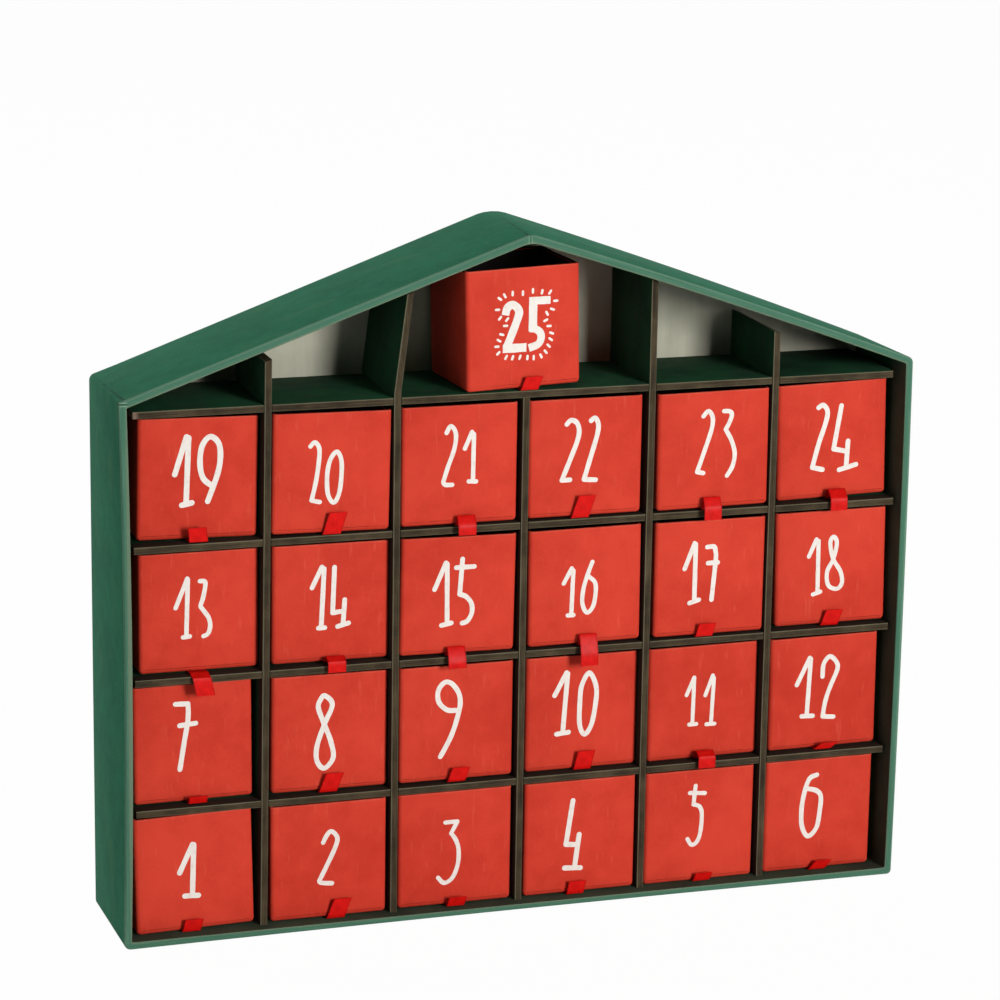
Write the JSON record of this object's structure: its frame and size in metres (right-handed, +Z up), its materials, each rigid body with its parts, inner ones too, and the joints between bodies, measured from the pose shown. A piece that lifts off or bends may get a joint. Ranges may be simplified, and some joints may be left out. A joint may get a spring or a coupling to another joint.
{
  "type": "advent calendar",
  "caption": "House-shaped cardboard advent calendar: open-fronted case with a slotted board grid that holds small numbered pull-out drawers with ribbon pulls.",
  "frame": {"origin": "middle of the case's underside", "axes": "+Z up, +X to the right seen from the front, +Y to the rear; the open front faces -Y"},
  "size_m": [0.32, 0.052, 0.2726],
  "materials": {
    "case_paper": "matt green wrapping paper on greyboard",
    "back_lining": "matt off-white lining paper",
    "grid_board": "green paper faces, raw grey-brown edges",
    "drawer_paper": "matt red wrapping paper on card",
    "ribbon_satin": "shiny red satin ribbon",
    "number_paint": "matt off-white paint"
  },
  "bodies": {
    "case": {"case_walls": "case_paper", "back_panel": "back_lining", "upright_1": "grid_board", "upright_2": "grid_board", "upright_3": "grid_board", "upright_4": "grid_board", "upright_5": "grid_board", "shelf_1": "grid_board", "shelf_2": "grid_board", "shelf_3": "grid_board", "attic_floor": "grid_board"},
    "drawer_01": {"drawer_01": "drawer_paper", "ribbon_01": "ribbon_satin"},
    "drawer_02": {"drawer_02": "drawer_paper", "ribbon_02": "ribbon_satin"},
    "drawer_03": {"drawer_03": "drawer_paper", "ribbon_03": "ribbon_satin"},
    "drawer_04": {"drawer_04": "drawer_paper", "ribbon_04": "ribbon_satin"},
    "drawer_05": {"drawer_05": "drawer_paper", "ribbon_05": "ribbon_satin"},
    "drawer_06": {"drawer_06": "drawer_paper", "ribbon_06": "ribbon_satin"},
    "drawer_07": {"drawer_07": "drawer_paper", "ribbon_07": "ribbon_satin"},
    "drawer_08": {"drawer_08": "drawer_paper", "ribbon_08": "ribbon_satin"},
    "drawer_09": {"drawer_09": "drawer_paper", "ribbon_09": "ribbon_satin"},
    "drawer_10": {"drawer_10": "drawer_paper", "ribbon_10": "ribbon_satin"},
    "drawer_11": {"drawer_11": "drawer_paper", "ribbon_11": "ribbon_satin"},
    "drawer_12": {"drawer_12": "drawer_paper", "ribbon_12": "ribbon_satin"},
    "drawer_13": {"drawer_13": "drawer_paper", "ribbon_13": "ribbon_satin"},
    "drawer_14": {"drawer_14": "drawer_paper", "ribbon_14": "ribbon_satin"},
    "drawer_15": {"drawer_15": "drawer_paper", "ribbon_15": "ribbon_satin"},
    "drawer_16": {"drawer_16": "drawer_paper", "ribbon_16": "ribbon_satin"},
    "drawer_17": {"drawer_17": "drawer_paper", "ribbon_17": "ribbon_satin"},
    "drawer_18": {"drawer_18": "drawer_paper", "ribbon_18": "ribbon_satin"},
    "drawer_19": {"drawer_19": "drawer_paper", "ribbon_19": "ribbon_satin"},
    "drawer_20": {"drawer_20": "drawer_paper", "ribbon_20": "ribbon_satin"},
    "drawer_21": {"drawer_21": "drawer_paper", "ribbon_21": "ribbon_satin"},
    "drawer_22": {"drawer_22": "drawer_paper", "ribbon_22": "ribbon_satin"},
    "drawer_23": {"drawer_23": "drawer_paper", "ribbon_23": "ribbon_satin"},
    "drawer_24": {"drawer_24": "drawer_paper", "ribbon_24": "ribbon_satin"},
    "drawer_25": {"drawer_25": "drawer_paper"}
  },
  "joints": [
    {"name": "drawer_01_slide", "type": "slide", "parent": "case", "child": "drawer_01", "axis": [0, -1, 0], "range_m": [0, 0.052]},
    {"name": "drawer_02_slide", "type": "slide", "parent": "case", "child": "drawer_02", "axis": [0, -1, 0], "range_m": [0, 0.052]},
    {"name": "drawer_03_slide", "type": "slide", "parent": "case", "child": "drawer_03", "axis": [0, -1, 0], "range_m": [0, 0.052]},
    {"name": "drawer_04_slide", "type": "slide", "parent": "case", "child": "drawer_04", "axis": [0, -1, 0], "range_m": [0, 0.052]},
    {"name": "drawer_05_slide", "type": "slide", "parent": "case", "child": "drawer_05", "axis": [0, -1, 0], "range_m": [0, 0.052]},
    {"name": "drawer_06_slide", "type": "slide", "parent": "case", "child": "drawer_06", "axis": [0, -1, 0], "range_m": [0, 0.052]},
    {"name": "drawer_07_slide", "type": "slide", "parent": "case", "child": "drawer_07", "axis": [0, -1, 0], "range_m": [0, 0.052], "deforming": ["ribbon_13"]},
    {"name": "drawer_08_slide", "type": "slide", "parent": "case", "child": "drawer_08", "axis": [0, -1, 0], "range_m": [0, 0.052]},
    {"name": "drawer_09_slide", "type": "slide", "parent": "case", "child": "drawer_09", "axis": [0, -1, 0], "range_m": [0, 0.052]},
    {"name": "drawer_10_slide", "type": "slide", "parent": "case", "child": "drawer_10", "axis": [0, -1, 0], "range_m": [0, 0.052], "deforming": ["ribbon_16"]},
    {"name": "drawer_11_slide", "type": "slide", "parent": "case", "child": "drawer_11", "axis": [0, -1, 0], "range_m": [0, 0.052]},
    {"name": "drawer_12_slide", "type": "slide", "parent": "case", "child": "drawer_12", "axis": [0, -1, 0], "range_m": [0, 0.052]},
    {"name": "drawer_13_slide", "type": "slide", "parent": "case", "child": "drawer_13", "axis": [0, -1, 0], "range_m": [0, 0.052]},
    {"name": "drawer_14_slide", "type": "slide", "parent": "case", "child": "drawer_14", "axis": [0, -1, 0], "range_m": [0, 0.052]},
    {"name": "drawer_15_slide", "type": "slide", "parent": "case", "child": "drawer_15", "axis": [0, -1, 0], "range_m": [0, 0.052]},
    {"name": "drawer_16_slide", "type": "slide", "parent": "case", "child": "drawer_16", "axis": [0, -1, 0], "range_m": [0, 0.052]},
    {"name": "drawer_17_slide", "type": "slide", "parent": "case", "child": "drawer_17", "axis": [0, -1, 0], "range_m": [0, 0.052]},
    {"name": "drawer_18_slide", "type": "slide", "parent": "case", "child": "drawer_18", "axis": [0, -1, 0], "range_m": [0, 0.052]},
    {"name": "drawer_19_slide", "type": "slide", "parent": "case", "child": "drawer_19", "axis": [0, -1, 0], "range_m": [0, 0.052]},
    {"name": "drawer_20_slide", "type": "slide", "parent": "case", "child": "drawer_20", "axis": [0, -1, 0], "range_m": [0, 0.052]},
    {"name": "drawer_21_slide", "type": "slide", "parent": "case", "child": "drawer_21", "axis": [0, -1, 0], "range_m": [0, 0.052]},
    {"name": "drawer_22_slide", "type": "slide", "parent": "case", "child": "drawer_22", "axis": [0, -1, 0], "range_m": [0, 0.052]},
    {"name": "drawer_23_slide", "type": "slide", "parent": "case", "child": "drawer_23", "axis": [0, -1, 0], "range_m": [0, 0.052]},
    {"name": "drawer_24_slide", "type": "slide", "parent": "case", "child": "drawer_24", "axis": [0, -1, 0], "range_m": [0, 0.052]},
    {"name": "drawer_25_slide", "type": "slide", "parent": "case", "child": "drawer_25", "axis": [0, -1, 0], "range_m": [0, 0.052]}
  ]
}
